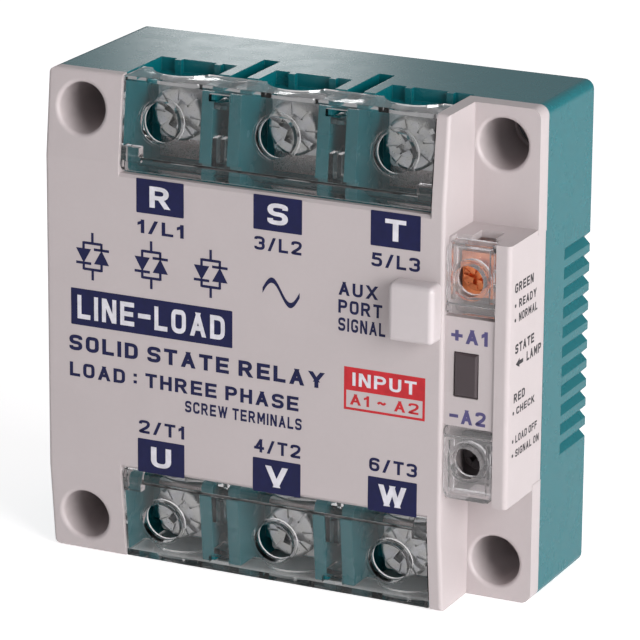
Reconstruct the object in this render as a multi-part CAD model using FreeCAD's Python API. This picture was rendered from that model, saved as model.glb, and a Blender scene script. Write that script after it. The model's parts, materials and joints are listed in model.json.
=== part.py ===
import FreeCAD, Part
import math
import os

# Three-phase solid state relay, millimetres.
# Frame: the origin is the centre of the rear mounting face. +X is right and +Z is up, seen from
# the front, and +Y points back into the panel, so the front of the relay looks along -Y.
# Upper features (supply side, terminals r s t) are built at +Z, and the lower ones (load side,
# terminals u v w) are their mirror image about Z = 0.

# Casing
HALF = 50.0                # half of the 100 mm square outline
CORNER_R = 2.0             # rounding of the outline's corners
FRONT_Y = -40.5            # flat middle of the front face
BEND_Z = 32.3              # where the front face starts to fall away, and the cover hinge height
EDGE_DROP = 1.9            # how far the front face has fallen back at the upper and lower edge
SKIN = 2.0                 # thickness of the front cover's plate
FRONT_ROUND = 0.8          # rounding of the front plate's outer edges
BLOCK_X = 36.35            # right side of the raised main block
BAY_X = 33.6               # half width of a terminal bay, also the inner face of the block's side wall
PARTING_Y = -23.0          # joint between front cover and housing on the right side
REAR_LIP_Y = -0.3          # rear rim of the housing, just short of the base plate's face
CAVITY = 46.0              # half size of the hollow inside the housing
EAR_Y = -27.0              # face of the two right mounting ears
STRIP_Y = -40.0            # front of the control strip's rim
STRIP_X = 49.9             # right side of the control strip
STRIP_HALF = 26.3          # half height of the control strip
STRIP_FLOOR_Y = -39.6      # label floor between the two control covers
STRIP_RIM_X = 46.85        # inner edge of the strip's right rim

# Fixing to the panel
MOUNT = 42.3               # mounting holes at +-MOUNT in X and Z
MOUNT_R = 2.75             # hole for an M5 bolt
ACCESS_R = 5.1             # bore for the bolt's head and the driver
MOUTH_ROUND = 0.8          # rounding of the bore's mouth
TUBE_R = 6.6               # outside of the access tube
TUBE_END_Y = -8.5          # rear end of the access tube
TUBE_FLOOR_T = 1.0         # thickness of the tube's floor around the bush
PLATE = 46.8               # half size of the base plate
PLATE_Y = -4.0             # front face of the base plate
BUSH_R = 4.5               # outside of the steel bush under the bolt head
BOSS = (42.3, 8.4)         # assembly screws, +-X and +-Z
BOSS_R = 3.0
ASSEMBLY_R = 1.5           # M3 assembly screw

# Terminal bays
PITCH = 25.0               # distance from one power terminal to the next
SCREW_Z = 41.4             # height of the power screws
BAY_Z = 30.45              # inner edge of a bay
POCKET_HALF = 8.25         # half width of a terminal pocket
SLOT_X = 12.5              # centre of the slot between two phases
SLOT_HALF = 1.75
SLOT_END_Y = -15.2
BLOCK_END_Y = -13.0        # rear of the terminal block
PLATFORM_Y = -26.1         # seat of the terminal bars
FUNNEL_Y = -22.0           # back wall of the wire entry
BAR_T = 1.2                # terminal bar thickness
NUT_HALF = 4.0
NUT_T = 3.6
CLAMP_HALF = 5.7
CLAMP_T = 1.1
HEAD_R = 5.5
HEAD_T = 3.1
SHANK_R = 2.5              # M5
SHANK_END_Y = -19.5
FIT = 0.06                 # radial clearance of shafts and hinge pins in their holes

# Clear covers
COVER_RECESS = 0.3
COVER_T = 1.3
COVER_X = 33.25
COVER_EDGE_Z = 49.8
BARREL_R = 1.5
HINGE_Y = FRONT_Y + COVER_RECESS + BARREL_R
PIN_R = 0.9
PIN_END_X = 34.9
LIP_Z = 48.6
LIP_Y = -30.2
ARCH_Y = -34.2
ARCH_HALF = 6.2
TUBE_OUT_R = 4.75
DRIVER_R = 4.1
DRIVER_TUBE_L = 1.9         # from the cover's face to the end of the ring behind it

# Control terminals
CONTROL_X = 41.2
CONTROL_Z = 18.3
POCKET_X = (37.0, 46.2)
POCKET_Z = 11.6
POCKET_FLOOR_Y = -30.4
FLOOR_BACK_Y = -26.4
CONTROL_PLATE_T = 1.0
CONTROL_CLAMP_T = 0.8
CONTROL_HEAD_T = 2.0
CONTROL_HEAD_R = 2.9
CONTROL_SHANK_R = 1.75     # M3.5
CONTROL_NUT_HALF = 3.0
CONTROL_NUT_T = 2.4
A1_LIFT = 2.0              # the A1 screw stands two millimetres open
SMALL_COVER_X = (36.65, 46.55)
SMALL_COVER_Y = -39.8
SMALL_COVER_T = 1.2
SMALL_BARREL_R = 1.1
SMALL_HINGE = (SMALL_COVER_Y + SMALL_BARREL_R, 12.4)   # Y, Z
SMALL_PIN_R = 0.7
SMALL_PIN_L = 1.1
SMALL_EDGE_Z = 25.7
SMALL_CORNER_R = 1.6       # rounding of the small cover's free corners
SMALL_END_Y = -36.2        # how far back the small cover's end wall reaches
ENTRY_X = (40.2, 45.0)     # wire entry in the end of the control strip
ENTRY_Y = -31.6
POCKET_END_Z = 24.9        # inner face of the strip's end wall

# Lamp and signal port
LAMP = (38.35, 43.45, -5.0, 4.0)       # X low, X high, Z low, Z high
LAMP_BEVEL = 0.55
LED_X, LED_Z = 40.9, -0.5
CAP = (26.4, 35.9, 5.8, 17.4)          # X low, X high, Z low, Z high
CAP_Y = -44.5
PORT = (29.9, 11.6)                    # X, Z
PORT_HALF = (3.2, 4.2)

# Electronics
BOARD_Y = -16.0            # rear face of the control board
BOARD_T = 1.6
BOARD_FRONT_Y = BOARD_Y - BOARD_T
BOARD_SCREW = (12.5, 25.6)
CERAMIC_T = 0.8
PAD_T = 0.3
CHIP_T = 0.5
CHIP_HALF = 4.0
CHIP = (4.5, 9.0)          # offset of a chip from its phase centre, X and Z
CLIP_T = 0.7

PHASES = (-PITCH, 0.0, PITCH)
UPPER = dict(zip("rst", PHASES))
LOWER = dict(zip("uvw", PHASES))
HEAD_ANGLES = dict(r=28.0, s=22.0, t=-33.0, u=40.0, v=17.0, w=35.0, a1=12.0, a2=50.0)


def box(x0, x1, y0, y1, z0, z1):
    return Part.makeBox(x1 - x0, y1 - y0, z1 - z0, FreeCAD.Vector(x0, y0, z0))


def cylinder_y(x, z, radius, y0, y1):
    return Part.makeCylinder(radius, y1 - y0, FreeCAD.Vector(x, y0, z), FreeCAD.Vector(0, 1, 0))


def cylinder_x(y, z, radius, x0, x1):
    return Part.makeCylinder(radius, x1 - x0, FreeCAD.Vector(x0, y, z), FreeCAD.Vector(1, 0, 0))


def cone_y(x, z, r0, r1, y0, y1):
    return Part.makeCone(r0, r1, y1 - y0, FreeCAD.Vector(x, y0, z), FreeCAD.Vector(0, 1, 0))


def prism_x(points, x0, x1):
    corners = [FreeCAD.Vector(x0, y, z) for y, z in points]
    face = Part.Face(Part.makePolygon(corners + corners[:1]))
    return face.extrude(FreeCAD.Vector(x1 - x0, 0, 0))


def rounded_block(half, radius, y0, y1):
    block = box(-half, half, y0, y1, -half, half)
    upright = [e for e in block.Edges if abs(e.Vertexes[0].Y - e.Vertexes[1].Y) > 0.5 * (y1 - y0)]
    return block.makeFillet(radius, upright)


def mirrored(shape):
    return shape.mirror(FreeCAD.Vector(0, 0, 0), FreeCAD.Vector(0, 0, 1))


def both(shape):
    """The shape and its mirror image about Z = 0, as a list."""
    return [shape, mirrored(shape)]


def joined(solids):
    return solids[0].multiFuse(solids[1:]).removeSplitter()


def carved(shape, tools):
    return shape.cut(tools).removeSplitter()


def edges_where(shape, keep):
    return [e for e in shape.Edges if all(keep(v.Point) for v in e.Vertexes)]


def face_y(z, depth):
    """Y of the main block's front face at height z, pushed back by depth."""
    fall = max(0.0, abs(z) - BEND_Z) * EDGE_DROP / (HALF - BEND_Z)
    return FRONT_Y + depth + fall


def block_profile(depth, back_y):
    """Side view of the main block from its front face, pushed back by depth, to back_y."""
    heights = (-HALF, -BEND_Z, BEND_Z, HALF)
    return [(face_y(z, depth), z) for z in heights] + [(back_y, HALF), (back_y, -HALF)]


# ---------------------------------------------------------------- front cover

def raised_block():
    block = prism_x(block_profile(0.0, PARTING_Y), -HALF, BLOCK_X)
    rim = FRONT_Y + EDGE_DROP + 0.01
    front_edges = edges_where(block, lambda p: p.y < rim)
    outer = [e for e in front_edges if not is_bend(e)]
    block = block.makeFillet(FRONT_ROUND, outer)
    hollow = prism_x(block_profile(SKIN, PARTING_Y + 1.0), -HALF - 1.0, BAY_X)
    return block.cut(hollow)


def is_bend(edge):
    start, end = (v.Point for v in edge.Vertexes)
    return abs(abs(start.z) - BEND_Z) < 0.01 and abs(start.z - end.z) < 0.01


def is_bore_mouth(edge):
    middle = edge.CenterOfMass
    centred = abs(abs(middle.x) - MOUNT) < 0.1 and abs(abs(middle.z) - MOUNT) < 0.1
    at_face = middle.y < EAR_Y + 0.1 and edge.BoundBox.XLength < 2.0 * ACCESS_R + 0.1
    return edge.isClosed() and centred and at_face


def strip_block():
    strip = box(BLOCK_X - 0.8, STRIP_X, STRIP_Y, PARTING_Y, -STRIP_HALF, STRIP_HALF)
    right_edge = edges_where(strip, lambda p: p.x > STRIP_X - 0.01 and p.y < STRIP_Y + 0.01)
    return strip.makeFillet(1.0, right_edge)


def strip_cuts():
    inner_x = STRIP_X - 2.2
    cuts = [
        box(BLOCK_X, inner_x, STRIP_FLOOR_Y + SKIN, PARTING_Y + 1.0, -10.2, 10.2),
        box(BLOCK_X, inner_x, FLOOR_BACK_Y, PARTING_Y + 1.0, -24.3, 24.3),
        box(BLOCK_X, STRIP_RIM_X, STRIP_Y - 1.0, STRIP_FLOOR_Y, -HALF, HALF),
        box(LAMP[0] - 0.05, LAMP[1] + 0.05, STRIP_Y - 1.0, -36.0, LAMP[2] - 0.05, LAMP[3] + 0.05),
    ]
    hinge_y, hinge_z = SMALL_HINGE
    seat_z = SMALL_HINGE[1] - SMALL_BARREL_R - 0.35
    upper = [
        box(BLOCK_X, STRIP_RIM_X, STRIP_Y - 1.0, SMALL_COVER_Y + SMALL_COVER_T + 0.3, seat_z, 27.0),
        box(BLOCK_X, STRIP_RIM_X, STRIP_Y - 1.0, hinge_y + SMALL_BARREL_R + 0.3, seat_z, 13.8),
        box(POCKET_X[0], POCKET_X[1], STRIP_Y - 1.0, POCKET_FLOOR_Y, POCKET_Z, POCKET_END_Z),
        box(POCKET_X[0], POCKET_X[1], STRIP_Y - 1.0, SMALL_END_Y + 0.3, POCKET_END_Z - 1.0, 27.0),
        box(ENTRY_X[0], ENTRY_X[1], STRIP_Y - 1.0, ENTRY_Y, POCKET_END_Z - 1.0, 27.0),
        box(CONTROL_X - 3.1, CONTROL_X + 3.1, POCKET_FLOOR_Y - 0.5, POCKET_FLOOR_Y + CONTROL_NUT_T,
            CONTROL_Z - 3.1, CONTROL_Z + 3.1),
        cylinder_y(CONTROL_X, CONTROL_Z, 2.0, POCKET_FLOOR_Y, FLOOR_BACK_Y + 1.0),
        box(37.2, 38.4, POCKET_FLOOR_Y - 0.5, FLOOR_BACK_Y + 1.0, 13.0, 16.4),
        cylinder_x(hinge_y, hinge_z, SMALL_PIN_R + FIT, BLOCK_X - 1.5, STRIP_RIM_X + 1.5),
    ]
    for tool in upper:
        cuts += both(tool)
    return cuts


def assembly_bosses():
    bosses = []
    for x, front in ((-BOSS[0], FRONT_Y + SKIN), (BOSS[0], STRIP_FLOOR_Y + SKIN)):
        boss = cylinder_y(x, BOSS[1], BOSS_R, front - 0.5, PLATE_Y)
        bosses += both(boss.cut(cylinder_y(x, BOSS[1], ASSEMBLY_R, -14.5, PLATE_Y + 1.0)))
    return bosses


def front_cover():
    ear = box(BLOCK_X - 1.0, HALF, EAR_Y, PARTING_Y, STRIP_HALF - 1.0, HALF)
    cheek = box(-BAY_X - 2.0, -BAY_X, FRONT_Y + SKIN - 0.5, -35.4, 30.2, 35.4)
    left_tube = cylinder_y(-MOUNT, MOUNT, TUBE_R, -38.2, TUBE_END_Y)
    right_tube = cylinder_y(MOUNT, MOUNT, TUBE_R, EAR_Y + 1.0, TUBE_END_Y)
    added = [strip_block()]
    for solid in (ear, left_tube, right_tube):
        added += both(solid)
    shell = joined([raised_block()] + added)

    front = FRONT_Y - 1.0
    bay = box(-BAY_X, BAY_X, front, -36.0, BAY_Z, HALF + 1.0)
    bay_chamfer = prism_x([(front, BAY_Z - 1.6), (front, BAY_Z), (FRONT_Y + 0.6, BAY_Z)], -BAY_X, BAY_X)
    cuts = strip_cuts()
    for tool in (bay, bay_chamfer):
        cuts += both(tool)
    for x in (-MOUNT, MOUNT):
        cuts += both(cylinder_y(x, MOUNT, ACCESS_R, front, TUBE_END_Y - TUBE_FLOOR_T))
        cuts += both(cylinder_y(x, MOUNT, BUSH_R + 0.1, TUBE_END_Y - TUBE_FLOOR_T - 1.0, TUBE_END_Y + 1.0))
    px, pz = PORT
    cuts.append(box(px - PORT_HALF[0], px + PORT_HALF[0], front, -36.0, pz - PORT_HALF[1], pz + PORT_HALF[1]))
    shell = shell.cut(cuts)
    shell = shell.makeFillet(MOUTH_ROUND, [e for e in shell.Edges if is_bore_mouth(e)])
    shell = joined([shell] + both(cheek) + assembly_bosses())
    pin_bore = cylinder_x(HINGE_Y, BEND_Z, PIN_R + FIT, -PIN_END_X - 0.2, PIN_END_X + 0.2)
    shell = shell.cut(both(pin_bore))
    outline = rounded_block(HALF, CORNER_R, FRONT_Y - 1.0, 0.0)
    return shell.common(outline).removeSplitter()


# ---------------------------------------------------------------- housing

def pocket(x0, x1):
    profile = [
        (FRONT_Y - 1.0, BAY_Z), (PLATFORM_Y, BAY_Z), (PLATFORM_Y, 45.8),
        (FUNNEL_Y, 47.4), (FUNNEL_Y, HALF + 1.0), (FRONT_Y - 1.0, HALF + 1.0),
    ]
    return prism_x(profile, x0, x1)


def bay_cuts():
    """Everything cut from the housing for the upper terminals."""
    front = FRONT_Y - 1.0
    cuts = [
        box(-BAY_X, BAY_X, front, HINGE_Y + BARREL_R + 0.4, BAY_Z, BEND_Z + BARREL_R + 0.4),
        box(-BAY_X, BAY_X, front, LIP_Y + 0.3, LIP_Z - 0.3, HALF + 1.0),
        box(-BAY_X - 2.1, -BAY_X + 0.1, front, -35.3, 30.05, 35.55),
        box(-36.0, 36.0, BLOCK_END_Y, PLATE_Y, 28.0, CAVITY),
        box(-CAVITY, -BAY_X - 2.0, -36.0, PLATE_Y, 28.0, 34.3),
        box(35.0, CAVITY, PARTING_Y - 1.0, PLATE_Y, 28.0, 34.3),
    ]
    for x in PHASES:
        left = x - POCKET_HALF if x > -PITCH else -BAY_X
        right = x + POCKET_HALF if x < PITCH else BAY_X + 0.5
        cuts += [
            pocket(left, right),
            box(x - 4.1, x + 4.1, PLATFORM_Y - 0.5, PLATFORM_Y + NUT_T, SCREW_Z - 4.1, SCREW_Z + 4.1),
            cylinder_y(x, SCREW_Z, 2.9, PLATFORM_Y, BLOCK_END_Y + 0.5),
            box(x - 3.2, x + 3.2, PLATFORM_Y - 0.5, BLOCK_END_Y + 0.5, 31.2, 32.8),
            box(x - 6.5, x + 6.5, -20.0, BLOCK_END_Y + 0.5, 33.8, 45.2),
        ]
    for x in (-SLOT_X, SLOT_X):
        cuts.append(box(x - SLOT_HALF, x + SLOT_HALF, front, SLOT_END_Y, 31.6, HALF + 1.0))
    return cuts


def side_grooves():
    """Louvre grooves along the rear of both sides."""
    depth, half_width, length = 1.2, 1.2, 13.5
    grooves = []
    for k in range(11):
        z = -2.0 + 4.0 * (k - 5)
        for side in (-1, 1):
            wedge = [
                FreeCAD.Vector(side * (HALF + 0.6), -length, z - 1.5 * half_width),
                FreeCAD.Vector(side * (HALF - depth), -length, z),
                FreeCAD.Vector(side * (HALF + 0.6), -length, z + 1.5 * half_width),
            ]
            face = Part.Face(Part.makePolygon(wedge + wedge[:1]))
            grooves.append(face.extrude(FreeCAD.Vector(0, length + 1.0, 0)))
    return grooves


def housing():
    left = prism_x(block_profile(SKIN, REAR_LIP_Y), -HALF, BAY_X)
    right = box(BAY_X - 1.0, HALF, PARTING_Y, REAR_LIP_Y, -HALF, HALF)
    outline = rounded_block(HALF, CORNER_R, FRONT_Y, 0.0)
    shell = joined([left, right]).common(outline)

    cuts = [
        box(-CAVITY, CAVITY, FRONT_Y, PLATE_Y, -28.45, 28.45),
        rounded_block(PLATE + 0.2, 1.8, PLATE_Y, 1.0),
    ]
    for tool in bay_cuts():
        cuts += both(tool)
    for x in (-MOUNT, MOUNT):
        cuts += both(cylinder_y(x, MOUNT, TUBE_R + 0.1, FRONT_Y, TUBE_END_Y))
        cuts += both(cylinder_y(x, MOUNT, BUSH_R, TUBE_END_Y - 0.5, PLATE_Y + 0.5))
    shell = shell.cut(cuts + side_grooves())

    ribs = []
    for x in PHASES:
        for side in (-4.4, 4.4):
            ribs += both(box(x + side - 0.7, x + side + 0.7, FUNNEL_Y - 1.2, FUNNEL_Y + 0.5, 46.7, HALF))
    ledges = []
    for x in (-BOARD_SCREW[0], BOARD_SCREW[0]):
        ledge = box(x - 3.0, x + 3.0, BOARD_Y, BOARD_Y + 4.0, 23.2, 29.0)
        hole = cylinder_y(x, BOARD_SCREW[1], 1.25, BOARD_Y - 1.0, BOARD_Y + 5.0)
        ledges += both(ledge.cut(hole))
    return joined([shell] + ribs + ledges)


# ---------------------------------------------------------------- rear and fasteners

def base_plate():
    plate = rounded_block(PLATE, 1.6, PLATE_Y, 0.0)
    rear_edges = edges_where(plate, lambda p: p.y > -0.01)
    plate = plate.makeChamfer(0.4, rear_edges)
    cuts = []
    for x in (-1, 1):
        cuts += both(cylinder_y(x * MOUNT, MOUNT, MOUNT_R, PLATE_Y - 1.0, 1.0))
        cuts += both(cylinder_y(x * BOSS[0], BOSS[1], ASSEMBLY_R + 0.1, PLATE_Y - 1.0, 1.0))
        cuts += both(cone_y(x * BOSS[0], BOSS[1], ASSEMBLY_R + 0.1, 3.1, -1.5, 0.0))
    return plate.cut(cuts)


def mounting_bushes():
    bushes = []
    for x in (-MOUNT, MOUNT):
        bush = cylinder_y(x, MOUNT, BUSH_R, TUBE_END_Y, PLATE_Y)
        bushes += both(bush.cut(cylinder_y(x, MOUNT, MOUNT_R, TUBE_END_Y - 1.0, PLATE_Y + 1.0)))
    return Part.makeCompound(bushes)


def cross_recess(x, z, y0, y1, size, width, angle):
    """Two crossed slots, turned by angle about the screw's axis."""
    wide = box(x - size, x + size, y0, y1, z - width, z + width)
    tall = box(x - width, x + width, y0, y1, z - size, z + size)
    cross = wide.fuse(tall)
    cross.rotate(FreeCAD.Vector(x, 0, z), FreeCAD.Vector(0, 1, 0), angle)
    return cross


def assembly_screws():
    screws = []
    for x in (-BOSS[0], BOSS[0]):
        head = cone_y(x, BOSS[1], ASSEMBLY_R, 2.9, -1.6, -0.2)
        shank = cylinder_y(x, BOSS[1], ASSEMBLY_R, -13.5, -1.6)
        screw = head.fuse(shank).removeSplitter()
        screws += both(screw.cut(cross_recess(x, BOSS[1], -1.2, 0.0, 1.6, 0.35, 30.0)))
    return Part.makeCompound(screws)


# ---------------------------------------------------------------- power terminals

def terminal_bar(x):
    top = PLATFORM_Y - BAR_T
    inner = 31.4
    foot_y = PLATE_Y - CERAMIC_T - PAD_T
    plate = box(x - 6.0, x + 6.0, top, PLATFORM_Y, inner, 45.7)
    leg = box(x - 3.0, x + 3.0, top, foot_y, inner, inner + BAR_T)
    foot = box(x - 3.0, x + 3.0, foot_y - 1.0, foot_y, 24.0, inner + BAR_T)
    bar = joined([plate, leg, foot])
    return bar.cut(cylinder_y(x, SCREW_Z, 2.75, top - 1.0, PLATFORM_Y + 1.0))


def square_nut(x, z, half, hole_r, y0, y1):
    nut = box(x - half, x + half, y0, y1, z - half, z + half)
    return nut.cut(cylinder_y(x, z, hole_r, y0 - 1.0, y1 + 1.0))


def terminal_nuts():
    nuts = []
    for x in PHASES:
        nuts += both(square_nut(x, SCREW_Z, NUT_HALF, SHANK_R + FIT, PLATFORM_Y, PLATFORM_Y + NUT_T))
    return Part.makeCompound(nuts)


def terminal_clamp(x):
    """Square pressure plate that rides under the head of a power screw."""
    y1 = PLATFORM_Y - BAR_T
    clamp = box(x - CLAMP_HALF, x + CLAMP_HALF, y1 - CLAMP_T, y1, SCREW_Z - CLAMP_HALF, SCREW_Z + CLAMP_HALF)
    upright = [e for e in clamp.Edges if abs(e.Vertexes[0].Y - e.Vertexes[1].Y) > 0.5]
    clamp = clamp.makeFillet(1.0, upright)
    return clamp.cut(cylinder_y(x, SCREW_Z, SHANK_R + FIT, y1 - CLAMP_T - 1.0, y1 + 1.0))


def screw_solid(x, z, head_r, head_t, shank_r, seat_y, tip_y, angle):
    """Pan-head screw with a cross recess, a through slot and radial grip marks on its head."""
    front = seat_y - head_t
    head = cylinder_y(x, z, head_r, front, seat_y)
    rim = edges_where(head, lambda p: p.y < front + 0.01)
    head = head.makeFillet(0.28 * head_t, rim)
    shank = cylinder_y(x, z, shank_r, seat_y, tip_y)
    tip = edges_where(shank, lambda p: p.y > tip_y - 0.01)
    shank = shank.makeChamfer(0.3 * shank_r, tip)
    screw = head.fuse(shank).removeSplitter()
    cuts = [
        cross_recess(x, z, front - 1.0, front + 0.62 * head_t, 0.56 * head_r, 0.15 * head_r, angle),
        box(x - head_r, x + head_r, front - 1.0, front + 0.3 * head_t, z - 0.1 * head_r, z + 0.1 * head_r),
    ]
    cuts[1].rotate(FreeCAD.Vector(x, 0, z), FreeCAD.Vector(0, 1, 0), angle)
    for k in range(8):
        mark = box(x + 0.52 * head_r, x + head_r, front - 1.0, front + 0.14 * head_t, z - 0.2, z + 0.2)
        mark.rotate(FreeCAD.Vector(x, 0, z), FreeCAD.Vector(0, 1, 0), angle + 22.5 + 45.0 * k)
        cuts.append(mark)
    return screw.cut(cuts)


def terminal_screw(x, side, angle):
    seat = PLATFORM_Y - BAR_T - CLAMP_T
    return screw_solid(x, side * SCREW_Z, HEAD_R, HEAD_T, SHANK_R, seat, SHANK_END_Y, angle)


# ---------------------------------------------------------------- control terminals

def control_plate_top():
    return POCKET_FLOOR_Y - CONTROL_PLATE_T


def control_terminal():
    top = control_plate_top()
    plate = box(37.3, 44.8, top, POCKET_FLOOR_Y, 13.1, 23.6)
    leg = box(37.3, 38.2, top, BOARD_FRONT_Y, 13.2, 16.2)
    terminal = joined([plate, leg])
    return terminal.cut(cylinder_y(CONTROL_X, CONTROL_Z, 1.95, top - 1.0, POCKET_FLOOR_Y + 1.0))


def control_nuts():
    y0, y1 = POCKET_FLOOR_Y, POCKET_FLOOR_Y + CONTROL_NUT_T
    nut = square_nut(CONTROL_X, CONTROL_Z, CONTROL_NUT_HALF, CONTROL_SHANK_R + FIT, y0, y1)
    return Part.makeCompound(both(nut))


def control_clamp(lift):
    y1 = control_plate_top() - lift
    clamp = box(37.5, 44.5, y1 - CONTROL_CLAMP_T, y1, 13.9, 22.7)
    hole = cylinder_y(CONTROL_X, CONTROL_Z, CONTROL_SHANK_R + FIT, y1 - CONTROL_CLAMP_T - 1.0, y1 + 1.0)
    return clamp.cut(hole)


def control_screw(lift, side, angle):
    seat = control_plate_top() - CONTROL_CLAMP_T - lift
    tip = seat + 5.9
    return screw_solid(CONTROL_X, side * CONTROL_Z, CONTROL_HEAD_R, CONTROL_HEAD_T, CONTROL_SHANK_R,
                       seat, tip, angle)


# ---------------------------------------------------------------- clear covers

def driver_tube(x, y, z, outer_r, inner_r, length, tilt):
    """Tube that guides the driver: its solid wall and the bore, tilted about X at its mouth."""
    wall = cylinder_y(x, z, outer_r, y - 0.25, y + length)
    bore = cylinder_y(x, z, inner_r, y - 2.0, y + length + 2.0)
    for solid in (wall, bore):
        solid.rotate(FreeCAD.Vector(x, y, z), FreeCAD.Vector(1, 0, 0), tilt)
    return wall, bore


def terminal_cover():
    """Upper hinged cover over three power terminals."""
    outer, inner = COVER_RECESS, COVER_RECESS + COVER_T
    slab = prism_x([
        (face_y(BEND_Z, outer), BEND_Z), (face_y(COVER_EDGE_Z, outer), COVER_EDGE_Z),
        (face_y(COVER_EDGE_Z, inner), COVER_EDGE_Z), (face_y(BEND_Z, inner), BEND_Z),
    ], -COVER_X, COVER_X)
    barrel = cylinder_x(HINGE_Y, BEND_Z, BARREL_R, -COVER_X, COVER_X)
    pins = cylinder_x(HINGE_Y, BEND_Z, PIN_R, -PIN_END_X, PIN_END_X)
    lip = box(-COVER_X, COVER_X, face_y(COVER_EDGE_Z, outer) + 0.3, LIP_Y, LIP_Z, COVER_EDGE_Z)
    rise = LIP_Y - ARCH_Y
    arch_r = (ARCH_HALF ** 2 + rise ** 2) / (2.0 * rise)
    arches = [Part.makeCylinder(arch_r, 3.0, FreeCAD.Vector(x, ARCH_Y + arch_r, LIP_Z - 1.0)) for x in PHASES]
    solids = [slab, barrel, pins, lip.cut(arches)]
    cuts = []

    tilt = -math.degrees(math.atan(EDGE_DROP / (HALF - BEND_Z)))
    face = face_y(SCREW_Z, outer)
    for x in PHASES:
        wall, bore = driver_tube(x, face, SCREW_Z, TUBE_OUT_R, DRIVER_R, DRIVER_TUBE_L, tilt)
        solids.append(wall)
        cuts.append(bore)
    for x in (-SLOT_X, SLOT_X):
        solids.append(box(x - 1.35, x + 1.35, face_y(36.0, inner) - 0.6, -35.2, 33.9, 39.5))
        solids.append(box(x - 1.4, x + 1.4, face_y(46.0, inner) - 0.6, -33.2, 45.2, 46.4))
        cuts.append(box(x - 0.45, x + 0.45, face_y(36.0, inner) + 0.3, -35.0, 34.8, 40.0))
        cuts.append(box(x - 2.2, x + 2.2, FRONT_Y - 1.0, -35.5, 46.8, 48.2))
    for x in (-1, 1):
        near, far = sorted((x * 29.8, x * COVER_X))
        solids.append(box(near, far, HINGE_Y, -36.7, BEND_Z, 35.6))
    return carved(joined(solids), cuts)


def small_cover():
    """Upper hinged cover over the A1 control terminal."""
    x0, x1 = SMALL_COVER_X
    hinge_y, hinge_z = SMALL_HINGE
    back = SMALL_COVER_Y + SMALL_COVER_T
    slab = box(x0, x1, SMALL_COVER_Y, back, hinge_z, SMALL_EDGE_Z)
    barrel = cylinder_x(hinge_y, hinge_z, SMALL_BARREL_R, x0, x1)
    pins = cylinder_x(hinge_y, hinge_z, SMALL_PIN_R, x0 - SMALL_PIN_L, x1 + SMALL_PIN_L)
    corners = [e for e in slab.Edges if abs(e.CenterOfMass.z - SMALL_EDGE_Z) < 0.01 and e.Length < COVER_T]
    slab = slab.makeFillet(SMALL_CORNER_R, corners)
    end_wall = box(POCKET_X[0] + 0.3, POCKET_X[1] - 0.3, SMALL_COVER_Y + 0.3, SMALL_END_Y, 24.6, SMALL_EDGE_Z)
    sides = [box(x, x + 0.8, back - 0.3, -37.4, 14.2, 25.0) for x in (POCKET_X[0] + 0.3, POCKET_X[1] - 1.1)]
    wall, bore = driver_tube(CONTROL_X, SMALL_COVER_Y, CONTROL_Z, 4.05, 3.15, 2.7, 0.0)
    return carved(joined([slab, barrel, pins, end_wall, wall] + sides), [bore])


# ---------------------------------------------------------------- lamp and signal port

def lamp_window():
    x0, x1, z0, z1 = LAMP
    lens = box(x0, x1, STRIP_FLOOR_Y - 0.3, STRIP_FLOOR_Y + SKIN, z0, z1)
    rim = edges_where(lens, lambda p: p.y < STRIP_FLOOR_Y)
    lens = lens.makeChamfer(LAMP_BEVEL, rim)
    flange = box(x0 - 0.4, x1 + 0.4, STRIP_FLOOR_Y + SKIN, STRIP_FLOOR_Y + SKIN + 1.0, z0 - 0.3, z1 + 0.3)
    guide = cylinder_y(LED_X, LED_Z, 2.4, STRIP_FLOOR_Y + SKIN + 1.0, -36.0)
    return joined([lens, flange, guide])


def status_led():
    body = cylinder_y(LED_X, LED_Z, 2.5, -33.0, -27.5)
    dome = Part.makeSphere(2.5, FreeCAD.Vector(LED_X, -33.0, LED_Z))
    flange = cylinder_y(LED_X, LED_Z, 2.9, -27.5, -26.5)
    leads = [box(LED_X - 0.25, LED_X + 0.25, -26.5, BOARD_FRONT_Y, LED_Z + dz - 0.25, LED_Z + dz + 0.25)
             for dz in (-1.27, 0.0, 1.27)]
    return joined([body, dome, flange] + leads)


def signal_port_cap():
    x0, x1, z0, z1 = CAP
    cap = box(x0, x1, CAP_Y, FRONT_Y, z0, z1)
    outer = [e for e in cap.Edges if min(v.Y for v in e.Vertexes) < FRONT_Y - 0.1]
    cap = cap.makeFillet(1.1, outer)
    px, pz = PORT
    plug = box(px - 2.9, px + 2.9, FRONT_Y - 1.0, -36.0, pz - 3.9, pz + 3.9)
    hollow = box(px - 1.3, px + 1.3, CAP_Y + 1.5, -35.0, pz - 2.6, pz + 2.6)
    return joined([cap, plug]).cut(hollow)


def signal_pins():
    x, z = PORT
    pins = [box(x - 0.32, x + 0.32, -39.5, BOARD_FRONT_Y, z + dz - 0.32, z + dz + 0.32)
            for dz in (-1.27, 1.27)]
    return Part.makeCompound(pins)


def signal_socket():
    x, z = PORT
    header = box(x - 1.3, x + 1.3, BOARD_FRONT_Y - 2.5, BOARD_FRONT_Y, z - 2.6, z + 2.6)
    return header.cut(signal_pins().Solids)


# ---------------------------------------------------------------- power stage

def ceramic_substrates():
    y0 = PLATE_Y - CERAMIC_T
    return Part.makeCompound([box(x - 10.5, x + 10.5, y0, PLATE_Y, -30.0, 30.0) for x in PHASES])


def copper_pads():
    y1 = PLATE_Y - CERAMIC_T
    pads = []
    for x in PHASES:
        pads += both(box(x - 9.0, x + 9.0, y1 - PAD_T, y1, 1.5, 29.0))
    return Part.makeCompound(pads)


def chip_places():
    return [(x - s * CHIP[0], s * CHIP[1], s) for x in PHASES for s in (1, -1)]


def thyristor_chips():
    y1 = PLATE_Y - CERAMIC_T - PAD_T
    return Part.makeCompound([box(x - CHIP_HALF, x + CHIP_HALF, y1 - CHIP_T, y1, z - CHIP_HALF, z + CHIP_HALF)
                              for x, z, _ in chip_places()])


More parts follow.
